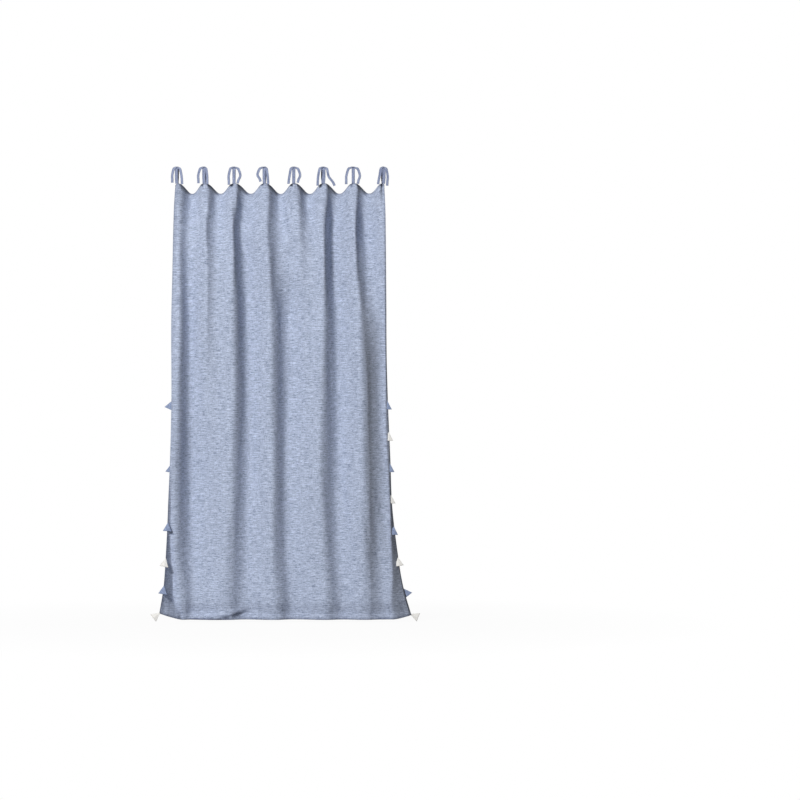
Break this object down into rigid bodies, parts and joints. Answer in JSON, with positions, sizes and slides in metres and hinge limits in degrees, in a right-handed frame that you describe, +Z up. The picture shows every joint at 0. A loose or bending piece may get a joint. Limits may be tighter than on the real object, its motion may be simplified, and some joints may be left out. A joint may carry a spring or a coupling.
{
  "type": "tie-top curtain panel",
  "caption": "Pleated linen-look curtain panel hung from a rod by knotted ribbon ties, with small folded cloth points down both sides.",
  "frame": {"origin": "on the axis of the rod that the ties are knotted round, half-way between the outer ties", "axes": "+Z up, the curtain's face looks along -Y, +X to the viewer's right along the rod"},
  "size_m": [1.4532, 0.2455, 2.4722],
  "materials": {
    "panel_cloth": "matt blue-grey linen-look plain weave with slubs",
    "tie_ribbon": "matt folded ribbon of the panel's cloth",
    "blue_point": "matt folded cloth, as the panel",
    "white_point": "matt folded off-white cotton"
  },
  "bodies": {
    "root": {"panel": "panel_cloth", "tie_1": "tie_ribbon", "tie_2": "tie_ribbon", "tie_3": "tie_ribbon", "tie_4": "tie_ribbon", "tie_5": "tie_ribbon", "tie_6": "tie_ribbon", "tie_7": "tie_ribbon", "tie_8": "tie_ribbon", "point_left_1": "blue_point", "point_left_2": "white_point", "point_left_3": "blue_point", "point_left_4": "white_point", "point_left_5": "blue_point", "point_left_6": "white_point", "point_left_7": "blue_point", "point_left_8": "white_point", "point_right_1": "blue_point", "point_right_2": "white_point", "point_right_3": "blue_point", "point_right_4": "white_point", "point_right_5": "blue_point", "point_right_6": "white_point", "point_right_7": "blue_point", "point_right_8": "white_point"}
  },
  "joints": []
}
